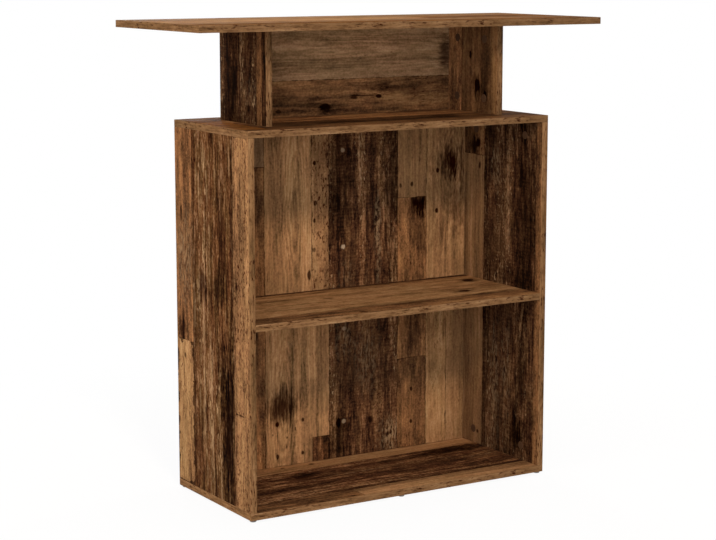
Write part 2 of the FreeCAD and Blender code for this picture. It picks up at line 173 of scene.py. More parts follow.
def spot_share(tree, attribute, ragged, uneven, soft):
    """How far a dark spot (below 0) or a pale one (above 0) covers the place. Its attribute holds the place
    in units of the spot's own half width and half length, and its strength. The ragged noise frays its rim,
    more where uneven is larger, and soft is half the breadth of the rim."""
    spot = add(tree, "ShaderNodeAttribute", out="Vector", attribute_name=attribute)
    flat = add(tree, "ShaderNodeVectorMath", {0: spot, 1: (1, 1, 0)}, operation="MULTIPLY")
    reach = add(tree, "ShaderNodeVectorMath", {0: flat}, out="Value", operation="LENGTH")
    rim = add(tree, "ShaderNodeMath", {0: ragged, 1: uneven, 2: reach}, operation="MULTIPLY_ADD")
    middle = 1.0 + RAGGED_MIDDLE * uneven
    cover = add(tree, "ShaderNodeMapRange", {0: rim, 1: middle + soft, 2: middle - soft},
                interpolation_type="SMOOTHSTEP")
    strength = add(tree, "ShaderNodeSeparateXYZ", {0: spot}, out="Z")
    return add(tree, "ShaderNodeMath", {0: cover, 1: strength}, operation="MULTIPLY")


def plank_print(name, shades, contrast, streak=(6.0, 150.0), fibre=(3.8, 17.0), blotch_size=(15.0, 46.0),
                swirl=0.0, mottle=0.4, dashes=0.4, pore_size=(3.2, 13.0), pore_start=0.57, pore_spread=0.15,
                flecks=0.0, chip_size=(3.4, 20.0), lines=0.3, cracks=0.3, rings=0.0, saw_marks=0.0,
                greyed=0.4, seam=0.8, bite=8.0):
    """Melamine foil printed with an old plank, its four shades given from dark to pale. contrast weighs broad
    bands, streaks, fibre lines and blotches. Sizes are in millimetres, across the grain and along it, and
    bite is how far the seam may fray into the plank."""
    material, tree, surface = new_material(name)
    grain = add(tree, "ShaderNodeAttribute", out="Vector", attribute_name="grain")
    drift = streaks(tree, grain, DRIFT_SIZE, detail=1.0)
    sideways = add(tree, "ShaderNodeMath", {0: drift, 1: GRAIN_DRIFT}, operation="MULTIPLY")
    wander = add(tree, "ShaderNodeCombineXYZ", {0: sideways})
    place = add(tree, "ShaderNodeVectorMath", {0: grain, 1: wander}, operation="ADD")

    # Six layers make the tone: broad bands, streaks, fine fibre lines, blotches, saw marks and speckles.
    broad = streaks(tree, place, (BAND_PER_STREAK * streak[0], BAND_LENGTH), detail=1.0)
    middle = streaks(tree, place, streak, shift=3.7)
    fine = streaks(tree, place, fibre, shift=8.1)
    blotch = streaks(tree, place, blotch_size, detail=3.0, shift=14.2, swirl=swirl)
    sawn = streaks(tree, grain, SAW_MARK_SIZE, detail=1.0, shift=5.3)
    speckle = streaks(tree, grain, SPECKLE_SIZE, shift=26.3)
    layers = (broad, middle, fine, blotch, sawn, speckle)
    weights = contrast + (saw_marks, mottle)
    tone = NOISE_MIDDLE
    for layer, weight in zip(layers, weights):
        swing = add(tree, "ShaderNodeMath", {0: layer, 1: NOISE_MIDDLE}, operation="SUBTRACT")
        tone = add(tree, "ShaderNodeMath", {0: swing, 1: weight, 2: tone}, operation="MULTIPLY_ADD")

    # Growth rings run round the plank's heart, which the ring attribute is measured from, and fade outwards.
    ring = add(tree, "ShaderNodeAttribute", out="Vector", attribute_name="ring")
    flat_ring = add(tree, "ShaderNodeVectorMath", {0: ring, 1: (1, 1, 0)}, operation="MULTIPLY")
    ring_reach = add(tree, "ShaderNodeVectorMath", {0: flat_ring}, out="Value", operation="LENGTH")
    ring_bent = add(tree, "ShaderNodeMath", {0: drift, 1: RING_DRIFT, 2: ring_reach},
                    operation="MULTIPLY_ADD")
    ring_bent = add(tree, "ShaderNodeMath", {0: blotch, 1: RING_RUFFLE, 2: ring_bent},
                    operation="MULTIPLY_ADD")
    ring_turn = add(tree, "ShaderNodeMath", {0: ring_bent, 1: 2 * math.pi / RING_SPACING},
                    operation="MULTIPLY")
    ring_wave = add(tree, "ShaderNodeMath", {0: ring_turn}, operation="SINE")
    ring_fade = add(tree, "ShaderNodeMapRange",
                    {0: ring_reach, 1: RING_FADE[0], 2: RING_FADE[1], 3: rings, 4: 0.0})
    ring_line = add(tree, "ShaderNodeMath", {0: ring_wave, 1: ring_fade}, operation="MULTIPLY")
    tone = add(tree, "ShaderNodeMath", {0: tone, 1: ring_line}, operation="SUBTRACT")

    colour = add(tree, "ShaderNodeValToRGB", {0: tone})
    stops = colour.node.color_ramp.elements
    for position in SHADE_STOPS[1:3]:
        stops.new(position)
    for stop, shade, position in zip(stops, shades, SHADE_STOPS):
        stop.position = position
        stop.color = linear(shade)

    # Long patches have weathered from reddish brown to a greyer, olive one.
    patch_noise = streaks(tree, place, GREYED_SIZE, shift=51.7)
    patch = add(tree, "ShaderNodeMapRange",
                {0: patch_noise, 1: GREYED_RANGE[0], 2: GREYED_RANGE[1], 4: greyed})
    colour = add(tree, "ShaderNodeMix", {0: patch, 6: colour, 7: linear(GREYED_TINT)}, out=2,
                 data_type="RGBA", blend_type="MULTIPLY")

    # The plank's own gain sits in the ring attribute's third number.
    gain = add(tree, "ShaderNodeSeparateXYZ", {0: ring}, out="Z")
    colour = add(tree, "ShaderNodeVectorMath", {0: colour, "Scale": gain}, operation="SCALE")

    # Hair cracks follow the contour lines of a long noise, and dark pores come in clusters.
    crack_noise = streaks(tree, place, CRACK_SIZE, detail=1.0, shift=17.7)
    crack_side = add(tree, "ShaderNodeMath", {0: crack_noise, 1: NOISE_MIDDLE}, operation="SUBTRACT")
    crack_side = add(tree, "ShaderNodeMath", {0: crack_side}, operation="ABSOLUTE")
    crack = add(tree, "ShaderNodeMapRange", {0: crack_side, 1: CRACK_RANGE[0], 2: CRACK_RANGE[1], 4: cracks})
    cluster_noise = streaks(tree, grain, CLUSTER_SIZE, detail=1.0, shift=40.1)
    cluster = add(tree, "ShaderNodeMapRange",
                  {0: cluster_noise, 1: CLUSTER_RANGE[0], 2: CLUSTER_RANGE[1], 3: pore_spread, 4: 1.0})
    pores = streaks(tree, place, pore_size, shift=12.9)
    pore = add(tree, "ShaderNodeMapRange", {0: pores, 1: pore_start, 2: pore_start + PORE_RISE, 4: dashes})
    pore = add(tree, "ShaderNodeMath", {0: pore, 1: cluster}, operation="MULTIPLY")
    scratch = add(tree, "ShaderNodeMath", {0: crack, 1: pore}, operation="MAXIMUM")

    # Grain lines join the cracks and pores, and all of them darken the plank.
    hairs = streaks(tree, place, GRAIN_LINE_SIZE, shift=33.5)
    hair = add(tree, "ShaderNodeMapRange",
               {0: hairs, 1: GRAIN_LINE_RANGE[0], 2: GRAIN_LINE_RANGE[1], 4: lines})
    scratch = add(tree, "ShaderNodeMath", {0: scratch, 1: hair}, operation="MAXIMUM")
    colour = add(tree, "ShaderNodeMix", {0: scratch, 6: colour, 7: linear(SCRATCH_BROWN)}, out=2,
                 data_type="RGBA", blend_type="MULTIPLY")

    # Stains and patches of painted shade have soft ragged edges; nail heads, holes and knots have sharper
    # ones.
    ragged = add(tree, "ShaderNodeMath", {0: middle, 1: blotch}, operation="ADD")
    ragged = add(tree, "ShaderNodeMath", {0: ragged, 1: fine}, operation="ADD")
    stain = 0.0
    mark = 0.0
    for number in range(SPOTS_PER_FACE):
        share = spot_share(tree, f"stain_{number}", ragged, *STAIN_AND_SHADE_RIM)
        stain = add(tree, "ShaderNodeMath", {0: share, 1: stain}, operation="ADD")
        share = spot_share(tree, f"mark_{number}", ragged, *MARK_RIM)
        mark = add(tree, "ShaderNodeMath", {0: share, 1: mark}, operation="ADD")

    # Pale chips, where the old surface has worn off, keep to the lighter bands and to the worn areas.
    worn = streaks(tree, place, chip_size, detail=3.0, shift=21.4)
    chip = add(tree, "ShaderNodeMapRange", {0: worn, 1: CHIP_RANGE[0], 2: CHIP_RANGE[1], 4: flecks})
    band = add(tree, "ShaderNodeMapRange", {0: broad, 1: CHIPPED_BAND_RANGE[0], 2: CHIPPED_BAND_RANGE[1]})
    chip = add(tree, "ShaderNodeMath", {0: chip, 1: band}, operation="MULTIPLY")
    wear = add(tree, "ShaderNodeMapRange", {0: worn, 1: WEAR_RANGE[0], 2: WEAR_RANGE[1]})
    wear = add(tree, "ShaderNodeMath", {0: wear, 1: stain}, operation="MULTIPLY")
    chip = add(tree, "ShaderNodeMath", {0: chip, 1: wear}, operation="MAXIMUM")
    colour = add(tree, "ShaderNodeMix", {0: chip, 6: colour, 7: linear(CHIP_TAN)}, out=2, data_type="RGBA")

    # Dark stains and marks, and the painted shade among the stains, darken the colour here.
    dark = add(tree, "ShaderNodeMath", {0: stain, 1: mark}, operation="ADD")
    dark_share = add(tree, "ShaderNodeMapRange", {0: dark, 1: 0.0, 2: -1.0})
    colour = add(tree, "ShaderNodeMix", {0: dark_share, 6: colour, 7: linear(STAIN_AND_SHADE_BROWN)}, out=2,
                 data_type="RGBA", blend_type="MULTIPLY")
    pale_share = add(tree, "ShaderNodeMapRange", {0: mark, 1: 0.0, 2: 1.0})
    colour = add(tree, "ShaderNodeMix", {0: pale_share, 6: colour, 7: linear(PALE_SPOT)}, out=2,
                 data_type="RGBA")

    # The seam to the next plank: dark and frayed, where the distance to the nearest plank edge runs out.
    low_edge = add(tree, "ShaderNodeAttribute", out="Vector", attribute_name="low_edge")
    high_edge = add(tree, "ShaderNodeAttribute", out="Vector", attribute_name="high_edge")
    nearest = add(tree, "ShaderNodeVectorMath", {0: low_edge, 1: high_edge}, operation="MINIMUM")
    side = add(tree, "ShaderNodeSeparateXYZ", {0: nearest}, out="X")
    end = add(tree, "ShaderNodeSeparateXYZ", {0: nearest}, out="Y")
    edge = add(tree, "ShaderNodeMath", {0: side, 1: end}, operation="MINIMUM")
    frayed = streaks(tree, grain, FRAY_SIZE, detail=3.0, shift=30.2)
    edge = add(tree, "ShaderNodeMath", {0: frayed, 1: -bite, 2: edge}, operation="MULTIPLY_ADD")
    seam_line = -SEAM_MIDDLE * bite
    seam_share = add(tree, "ShaderNodeMapRange",
                     {0: edge, 1: seam_line + SEAM_HALF, 2: seam_line - SEAM_HALF, 4: seam})
    colour = add(tree, "ShaderNodeMix", {0: seam_share, 6: colour, 7: linear(SEAM_BROWN)}, out=2,
                 data_type="RGBA", blend_type="MULTIPLY")

    # The foil is embossed a little where the cracks, pores and seams are printed.
    height = add(tree, "ShaderNodeMath", {0: scratch, 1: seam_share}, operation="ADD")
    height = add(tree, "ShaderNodeMath", {0: fine, 1: height}, operation="SUBTRACT")
    bump = add(tree, "ShaderNodeBump",
               {"Height": height, "Strength": EMBOSS_STRENGTH, "Distance": EMBOSS_DEPTH}, out="Normal")
    smoothest = FOIL_ROUGHNESS - FOIL_ROUGHNESS_SWING
    roughest = FOIL_ROUGHNESS + FOIL_ROUGHNESS_SWING
    sheen = add(tree, "ShaderNodeMapRange",
                {0: middle, 1: SHEEN_RANGE[0], 2: SHEEN_RANGE[1], 3: smoothest, 4: roughest})
    tree.links.new(colour, surface.inputs["Base Color"])
    tree.links.new(sheen, surface.inputs["Roughness"])
    tree.links.new(bump, surface.inputs["Normal"])
    surface.inputs["IOR"].default_value = FOIL_IOR
    surface.inputs["Specular IOR Level"].default_value = FOIL_SPECULAR
    return material


# The prints, each the look of one kind of old plank on the same matt foil.
PRINTS = {
    # Planed pine: long calm streaks, and faint rings round a heart.
    "pale_pine": plank_print("printed_pale_pine", ("#553d25", "#815d3e", "#9b714b", "#b38960"),
                             (1.15, 0.82, 0.4, 0.48), (7.0, 260.0), mottle=0.55, dashes=0.45, lines=0.18,
                             cracks=0.1, rings=0.14),
    # Worm-eaten pine: thick with short dark pores.
    "speckled_pine": plank_print("printed_speckled_pine", ("#4e3421", "#7e5a3c", "#996f4a", "#af855c"),
                                 (0.9, 0.8, 0.5, 0.8), (6.0, 160.0), mottle=0.68, dashes=0.95,
                                 pore_size=(4.2, 10.0), pore_start=0.53, pore_spread=0.6, lines=0.2,
                                 cracks=0.12),
    # Honey-coloured pine: soft blotches and the faintest rings.
    "honey_pine": plank_print("printed_honey_pine", ("#5d4028", "#8f6743", "#aa7e54", "#c2976c"),
                              (0.9, 0.7, 0.3, 0.9), (8.0, 200.0), mottle=0.52, dashes=0.6, lines=0.18,
                              cracks=0.15, rings=0.08),
    # Pine under old varnish: a deeper orange brown.
    "amber_pine": plank_print("printed_amber_pine", ("#4a2b12", "#7a4d25", "#956131", "#ab7946"),
                              (1.0, 0.9, 0.4, 0.9), (8.0, 180.0), mottle=0.5, dashes=0.7, lines=0.25,
                              cracks=0.2),
    # Dry pale pine: its edges have splintered far into it.
    "frayed_pine": plank_print("printed_frayed_pine", ("#5d3f28", "#916a46", "#ac8257", "#c29a6d"),
                               (1.0, 0.9, 0.5, 0.9), (6.0, 120.0), mottle=0.65, dashes=0.8,
                               pore_size=(4.0, 11.0), cracks=0.2, bite=45.0),
    # Brown oak: wide streaks, with a pale chip here and there.
    "brown_oak": plank_print("printed_brown_oak", ("#2e1c11", "#553923", "#724d30", "#8f6741"),
                             (1.2, 0.9, 0.35, 0.8), (12.0, 150.0), mottle=0.68, dashes=0.8, flecks=0.15,
                             lines=0.22, cracks=0.3),
    # Weathered oak: dark and greyed, chipped to pale flecks, with saw marks across it.
    "weathered_oak": plank_print("printed_weathered_oak", ("#1e110a", "#402718", "#573a24", "#7c583c"),
                                 (1.1, 1.3, 0.45, 1.0), (8.0, 100.0), (4.2, 16.0), mottle=0.8, greyed=0.6,
                                 dashes=0.9, pore_size=(4.0, 7.0), flecks=0.75, chip_size=(4.6, 13.0),
                                 lines=0.4, cracks=0.45, saw_marks=0.4),
    # Oak sawn next to the bark: a swirled figure with long pale flakes and deep cracks.
    "bark_oak": plank_print("printed_bark_oak", ("#2c1709", "#52321d", "#694629", "#886649"),
                            (1.3, 1.7, 0.5, 1.0), (7.0, 95.0), (4.0, 15.0), (12.0, 40.0), swirl=1.2,
                            mottle=0.75, greyed=0.9, dashes=0.9, pore_size=(5.0, 14.0), flecks=0.95,
                            chip_size=(5.0, 22.0), lines=0.5, cracks=0.6, saw_marks=0.2),
    # Nearly black oak: cracked, with a few short pale flecks.
    "dark_oak": plank_print("printed_dark_oak", ("#140a05", "#2b190d", "#452b19", "#634329"),
                            (1.2, 1.1, 0.5, 1.0), (9.0, 120.0), (4.2, 16.0), mottle=0.65, dashes=0.7,
                            flecks=0.3, chip_size=(3.2, 11.0), lines=0.4, cracks=0.5, saw_marks=0.3),
    # Pine gone grey: little contrast, and faint rings.
    "grey_pine": plank_print("printed_grey_pine", ("#4a3623", "#6b4f36", "#866548", "#9d7b5b"),
                             (0.8, 0.6, 0.25, 0.6), (8.0, 220.0), mottle=0.5, dashes=0.45, lines=0.18,
                             cracks=0.12, rings=0.1),
}
# The edges carry a printed band: planed pine with short dark pores, its grain along the edge.
EDGE_BAND = plank_print("edge_band_pine", ("#45311e", "#694c31", "#795a3d", "#8a6b4c"),
                        (0.9, 0.8, 0.4, 0.7), (4.0, 120.0), mottle=0.35, dashes=1.0, pore_size=(3.0, 18.0),
                        pore_start=0.55, cracks=0.15, greyed=0.15, seam=0.0)
# The band's figure is taken from another part of the noise than the boards', and from its own for each axis.
BAND_OFFSET = 400.0
BAND_STEP = 3.1

# A plank with no heart in sight has it this far beyond its low side, where its rings have faded.
HIDDEN_HEART = 400.0
HIDDEN_STRETCH = 60.0
# A plank's place picks its slice of the noise, so that two planks of one print aren't the same.
SLICE_PER_SIDE = 0.37
SLICE_PER_START = 0.11


def plank(low, high, start, end, kind, gain=1.0, heart=None, cut=0.0):
    """One printed plank: its sides across the grain, its ends along it, its print, its gain, the heart that
    its rings run round (across, along, and how far they are drawn out), and a step to another slice of the
    noise."""
    side, along, stretch = heart or (low - HIDDEN_HEART, (start + end) / 2, HIDDEN_STRETCH)
    slice_step = cut + SLICE_PER_SIDE * low + SLICE_PER_START * start
    return {"low": low, "high": high, "start": start, "end": end, "kind": kind, "gain": gain,
            "side": side, "along": along, "stretch": stretch, "cut": slice_step}


# Below, a stain or mark is its place across the grain and along it, its half width and half length, and its
# strength: below 0 darkens, above 0 wears or bleaches. Some dark stains are painted shade, as marked. A place
# takes the first plank listed that covers it.

# The back's inner face, seen through both compartments.
BACK_FACE = {
    "planks": (
        plank(0, 100, 0, 786, "pale_pine", heart=(50, 300, 9)),
        plank(100, 186, 0, 388, "brown_oak", 1.85),
        plank(100, 186, 388, 689, "brown_oak", 1.55),
        # A grey printed plank whose gain is also turned down as painted shade under the cabinet top.
        plank(100, 186, 689, 786, "grey_pine", 0.9),
        plank(186, 308, 398, 786, "pale_pine", 1.12, heart=(264, 590, 11), cut=5.8),
        plank(308, 353, 0, 58, "dark_oak", 2.8, cut=17.4),
        plank(186, 353, 0, 398, "pale_pine", 1.3, heart=(236, 140, 5), cut=17.4),
        plank(308, 353, 398, 786, "speckled_pine", 1.0, cut=5.8),
        plank(353, 539, 0, 786, "weathered_oak", 1.5, cut=23.2),
        plank(539, 619, 596, 786, "pale_pine", 0.9),
        plank(539, 619, 216, 596, "brown_oak", 1.62, cut=23.2),
        plank(539, 619, 0, 216, "brown_oak", 1.6, cut=23.2),
        plank(619, 728, 400, 786, "pale_pine", 1.0, heart=(692, 672, 3)),
        plank(619, 676, 0, 400, "honey_pine", 0.97, cut=11.6),
        plank(676, 728, 0, 400, "pale_pine", 0.9, cut=11.6),
    ),
    "stains_and_shade": (
        (264, 600, 8, 55, -0.35), (230, 138, 36, 40, -0.93), (330, 690, 26, 110, -0.4),
        (260, 282, 22, 6, 0.3),
        (380, 690, 32, 150, -0.6), (395, 275, 20, 36, 0.3), (521, 640, 20, 240, -0.72),
        (400, 432, 18, 34, 0.2), (486, 515, 9, 80, 0.5), (437, 690, 6, 50, 0.6), (384, 58, 26, 48, -0.65),
        (600, 578, 26, 26, -0.95), (597, 510, 15, 60, -0.4), (579, 330, 40, 70, -0.3),
        (690, 676, 34, 38, -0.7), (648, 350, 40, 70, -0.3),
        # Painted shade, not stains: (708, 570) is a shadow beside the right side; (646, 500) and (675, 625)
        # darken the right of the upper compartment, and (246, 764) its top, in the shade of the cabinet top.
        (708, 570, 22, 60, -0.35), (646, 500, 30, 40, -0.25), (246, 764, 60, 30, -0.2),
        (675, 625, 56, 110, -0.3), (455, 230, 26, 80, 0.25),
        (524, 36, 24, 40, 0.65), (336, 230, 16, 110, -0.2),
    ),
    "marks": (
        (390, 716, 5, 5, 0.3), (391, 494, 5, 5, 0.7), (393, 304, 5, 5, 0.3), (392, 85, 5, 5, 0.35),
        (578, 627, 4, 6, -0.9), (547, 625, 3, 5, -0.8), (301, 437, 5, 10, -0.9), (315, 691, 4, 5, -0.8),
        (318, 600, 4, 6, -0.7), (315, 560, 3, 5, -0.8), (314, 493, 5, 5, -0.7),
        (216, 99, 4, 5, -0.9), (283, 102, 4, 5, -0.9), (241, 66, 2, 3, -0.8), (263, 84, 2, 4, -0.7),
        (204, 76, 2, 3, -0.7), (216, 24, 4, 5, -0.9), (282, 25, 4, 5, -0.9), (240, 44, 2, 3, -0.7),
        (578, 140, 4, 5, -0.9), (578, 61, 4, 5, -0.9), (694, 672, 8, 15, -0.12),
        (650, 655, 4, 6, -0.8), (648, 560, 4, 6, -0.8), (465, 80, 7, 9, -0.8), (378, 84, 6, 10, -0.8),
    ),
}

# The back's outer face, seen from behind only.
BACK_OUTER_FACE = {
    "planks": (
        plank(0, 96, 0, 786, "speckled_pine", 0.9),
        plank(96, 214, 0, 470, "weathered_oak", 1.3),
        plank(96, 214, 470, 786, "bark_oak"),
        plank(214, 330, 0, 786, "pale_pine", heart=(276, 360, 11)),
        plank(330, 402, 0, 262, "brown_oak", 1.5),
        plank(330, 402, 262, 786, "brown_oak", 1.2),
        plank(402, 560, 0, 786, "weathered_oak", 1.2),
        plank(560, 646, 0, 540, "honey_pine"),
        plank(560, 646, 540, 786, "grey_pine"),
        plank(646, 728, 0, 786, "brown_oak", 1.35),
    ),
    "stains_and_shade": (
        (150, 220, 30, 120, -0.6), (180, 640, 9, 90, 0.6), (276, 380, 9, 60, -0.3), (250, 640, 22, 30, -0.8),
        (366, 300, 24, 34, -0.9), (440, 560, 26, 190, -0.7), (500, 300, 8, 110, 0.7),
        (536, 660, 18, 110, -0.6),
        (604, 500, 26, 30, -0.9), (690, 200, 24, 80, -0.4), (40, 500, 20, 120, -0.3),
    ),
    "marks": (
        (36, 690, 4, 6, -0.9), (36, 92, 4, 6, -0.9), (250, 640, 9, 12, -0.8), (300, 120, 4, 5, -0.9),
        (236, 120, 4, 5, -0.9), (366, 700, 4, 6, -0.8), (480, 706, 5, 5, 0.6), (480, 84, 5, 5, 0.5),
        (602, 90, 4, 6, -0.9), (690, 690, 4, 5, -0.9), (690, 74, 4, 5, -0.9),
    ),
}

# The outer face of a side: a tan strip at the front, a dark weathered plank, and a paler strip behind.
SIDE_OUTER_FACE = {
    "planks": (
        plank(0, 69, 0, 786, "speckled_pine", 1.04, cut=14.5),
        plank(69, 256, 0, 786, "bark_oak", 1.08, cut=17.4),
        plank(256, 335, 0, 322, "frayed_pine"),
        plank(256, 335, 322, 786, "brown_oak", 2.2, cut=8.7),
    ),
    "stains_and_shade": (
        (121, 605, 13, 125, -0.6), (94, 155, 28, 190, -0.95), (138, 455, 24, 30, -0.6),
        (208, 452, 20, 34, -0.8),
        (170, 150, 6, 75, 1.0), (171, 275, 5, 50, 0.9), (206, 200, 5, 110, 0.8), (206, 390, 5, 50, 0.9),
        (250, 400, 8, 390, -0.4), (122, 300, 20, 50, -0.4), (143, 60, 20, 70, -0.45), (190, 70, 8, 70, -0.4),
        (187, 290, 8, 60, -0.4), (150, 250, 12, 50, -0.3), (74, 560, 6, 230, -0.7), (306, 346, 14, 34, -0.95),
        (296, 510, 30, 80, 0.55), (296, 745, 26, 50, -0.35), (36, 470, 34, 190, -0.22),
    ),
    "marks": (
        (308, 600, 7, 20, -0.9), (297, 288, 4, 6, -0.8), (45, 203, 20, 2, -0.7),
    ),
}

# The inner face of a side: a narrow brown strip at the front, dark planks, and a paler one towards the back.
SIDE_INNER_FACE = {
    "planks": (
        plank(0, 22, 0, 786, "brown_oak", 1.15, cut=29.0),
        plank(22, 221, 398, 786, "weathered_oak", 0.95),
        plank(22, 221, 0, 398, "weathered_oak", 1.05),
        plank(221, 335, 693, 786, "brown_oak", 1.1, cut=17.4),
        plank(221, 335, 393, 693, "pale_pine", 0.88, cut=26.1),
        plank(221, 335, 0, 393, "pale_pine", 0.88, cut=5.8),
    ),
    "stains_and_shade": (
        (212, 560, 12, 200, -0.4), (50, 640, 34, 190, -0.55), (126, 590, 9, 130, 0.35),
        (176, 668, 16, 44, 0.4), (126, 430, 24, 30, -0.55),
        (258, 715, 16, 24, -0.9), (262, 375, 40, 26, -0.4), (205, 190, 10, 130, -0.4),
        (175, 140, 18, 130, 0.35),
        # Painted shade: the last stain on the next line, at (80, 764), darkens the top of the face under the
        # cabinet top.
        (128, 190, 14, 110, 0.3), (72, 230, 24, 140, -0.6), (75, 345, 24, 50, -0.35), (80, 764, 56, 28, -0.3),
        (78, 50, 30, 36, -0.7),
    ),
    "marks": ((240, 668, 4, 8, -0.9), (248, 720, 8, 10, -0.8), (238, 31, 4, 5, -0.8)),
}

# Both faces of the counter.
COUNTER_FACE = {
    "planks": (
        plank(0, 66, 0, 1000, "amber_pine", 0.74, cut=8.7),
        plank(66, 140, 0, 1000, "honey_pine", 0.85, cut=5.8),
        plank(140, 262, 0, 640, "honey_pine", 1.2, heart=(196, 330, 14), cut=2.9),
        plank(140, 262, 640, 1000, "amber_pine", 0.9, cut=26.1),
        plank(262, 390, 0, 1000, "honey_pine", 0.9, cut=29.0),
    ),
    "stains_and_shade": (
        (200, 830, 26, 80, -0.5), (176, 700, 12, 60, -0.35), (40, 960, 26, 40, -0.5),
        (30, 250, 16, 120, -0.3),
        (110, 520, 12, 110, -0.3), (204, 470, 10, 110, -0.25), (320, 60, 30, 50, -0.4),
        (330, 640, 22, 110, -0.3),
    ),
    "marks": (
        (210, 330, 3, 20, -0.6), (214, 846, 7, 13, -0.8), (188, 905, 5, 9, -0.8), (100, 640, 4, 9, -0.7),
        (44, 420, 3, 8, -0.7), (318, 300, 6, 12, -0.8),
    ),
}

# The cabinet top's upper face, which the riser stands on.
CABINET_TOP_FACE = {
    "planks": (
        plank(0, 20, 0, 758, "brown_oak", 1.2),
        plank(20, 150, 60, 758, "brown_oak", 0.7, cut=2.9),
        plank(20, 150, 0, 60, "amber_pine", 0.65, cut=20.3),
        plank(150, 335, 60, 758, "brown_oak", 1.5, cut=2.9),
        plank(150, 335, 0, 60, "amber_pine", 0.95),
    ),
    "stains_and_shade": ((105, 280, 24, 50, -0.6), (105, 545, 24, 50, -0.7), (250, 560, 26, 70, -0.4)),
    "marks": ((230, 300, 6, 11, -0.8),),
}

# Both faces of the shelf, with a dark strip along the rear that is painted shade: the shadow in the joint
# with the back, drawn with the dark oak print.
SHELF_FACE = {
    "planks": (
        plank(0, 60, 0, 728, "brown_oak", 1.3, cut=11.6),
        plank(60, 284, 0, 728, "honey_pine", 0.97, heart=(150, 520, 30), cut=31.9),
        # Painted shade: this dark strip stands for the shadow where the shelf meets the back.
        plank(284, 300, 0, 728, "dark_oak", 1.4),
    ),
    "stains_and_shade": (
        (52, 410, 12, 70, -0.6), (66, 400, 8, 220, -0.45), (66, 640, 8, 60, -0.5), (220, 160, 12, 70, -0.35),
        (118, 600, 22, 34, -0.5), (228, 690, 24, 26, -0.5), (150, 160, 16, 60, -0.25),
    ),
    "marks": (
        (115, 602, 9, 13, -0.9), (230, 690, 10, 12, -0.95), (192, 290, 6, 14, -0.6), (15, 270, 6, 14, -0.9),
        (18, 60, 5, 12, -0.7), (14, 150, 4, 9, -0.7),
    ),
}

# Both faces of the bottom panel, and the cabinet top's lower face.
BOTTOM_FACE = {
    "planks": (
        plank(0, 52, 0, 280, "brown_oak", 1.2),
        plank(0, 52, 280, 758, "pale_pine", 1.0, cut=20.3),
        plank(52, 168, 0, 758, "weathered_oak", 1.95, cut=23.2),
        plank(168, 250, 0, 758, "weathered_oak", 2.0, cut=11.6),
        plank(250, 335, 0, 758, "pale_pine", 1.15),
    ),
    "stains_and_shade": (
        (60, 420, 8, 260, -0.6), (222, 650, 28, 90, -0.85), (200, 235, 20, 40, -0.7), (170, 380, 5, 60, 0.5),
        (150, 690, 5, 36, 0.5), (125, 190, 8, 30, -0.6),
    ),
    "marks": ((286, 236, 5, 7, -0.8), (284, 310, 5, 7, -0.8), (10, 176, 4, 7, -0.8), (10, 256, 4, 7, -0.8)),
}

# The riser: the outer and inner faces of its sides, and both faces of its back.
RISER_SIDE_OUTER_FACE = {
    "planks": (
        plank(0, 18, 0, 200, "dark_oak", 1.0, cut=26.1),
        plank(18, 42, 0, 200, "brown_oak", 1.0, cut=2.9),
        plank(42, 205, 0, 200, "weathered_oak", 0.7, cut=8.7),
    ),
    "stains_and_shade": ((160, 60, 30, 50, -0.5), (107, 130, 6, 60, 0.5), (70, 60, 30, 20, 0.2)),
    "marks": ((76, 34, 6, 9, -0.9),),
}

RISER_SIDE_INNER_FACE = {
    "planks": (
        plank(0, 60, 0, 200, "brown_oak", 0.85, cut=8.7),
        plank(60, 138, 0, 200, "brown_oak", 0.92, cut=31.9),
        plank(138, 205, 0, 200, "brown_oak", 2.6, cut=20.3),
    ),
    "stains_and_shade": ((78, 62, 16, 26, -0.8), (104, 150, 10, 40, -0.3), (44, 60, 12, 30, -0.5)),
    "marks": ((104, 130, 5, 9, -0.9), (77, 62, 8, 12, -0.9), (46, 42, 5, 7, -0.8)),
}

RISER_BACK_FACE = {
    "planks": (
        plank(0, 79, 0, 570, "brown_oak", 1.8, cut=14.5),
        plank(79, 200, 0, 570, "grey_pine", 1.68, heart=(140, 250, 14), cut=11.6),
    ),
    "stains_and_shade": (
        (130, 560, 34, 18, -0.8), (28, 212, 12, 40, -0.5), (60, 360, 9, 50, -0.4), (50, 460, 16, 80, -0.5),
        (40, 30, 14, 24, -0.4),
    ),
    "marks": (
        (16, 240, 9, 15, -0.85), (14, 120, 4, 7, -0.8), (38, 314, 5, 9, -0.9), (37, 380, 5, 8, -0.9),
        (40, 347, 2, 22, -0.7), (40, 492, 5, 8, -0.9), (52, 168, 5, 6, -0.7),
    ),
}


def inside(planks, across, along):
    """The first plank that covers a place on a face."""
    for each in planks:
        if each["low"] <= across <= each["high"] and each["start"] <= along <= each["end"]:
            return each
    raise ValueError(f"no plank covers {across:.0f}, {along:.0f}")


def nearest_spots(spots, each, places):
    """The spots of one plank, those nearest to a patch first, filled up with spots that don't show."""
    own = []
    for spot in spots:
        if each["low"] <= spot[0] <= each["high"] and each["start"] <= spot[1] <= each["end"]:
            own.append(spot)
    sides = [place[0] for place in places]
    alongs = [place[1] for place in places]

    def distance(spot):
        side = max(min(sides) - spot[0], 0.0, spot[0] - max(sides))
        along = max(min(alongs) - spot[1], 0.0, spot[1] - max(alongs))
        return math.hypot(side / spot[2], along / spot[3])

    own.sort(key=distance)
    return (own + [NO_SPOT] * SPOTS_PER_FACE)[:SPOTS_PER_FACE]


def bisect_at(axis, value):
    """Cuts the whole board by a plane square to an axis."""
    point = [0.0, 0.0, 0.0]
    normal = [0.0, 0.0, 0.0]
    point[axis] = value
    normal[axis] = 1.0
    bpy.ops.mesh.select_all(action="SELECT")
    bpy.ops.mesh.bisect(plane_co=point, plane_no=normal)


def cut_lines(faces, low_key, high_key, length):
    """The plank edges of both faces in millimetres, without the board's own two ends."""
    lines = {each[key] for face in faces for each in face["planks"] for key in (low_key, high_key)}
    return sorted(line for line in lines if 0 < line < length - CUT_MARGIN)


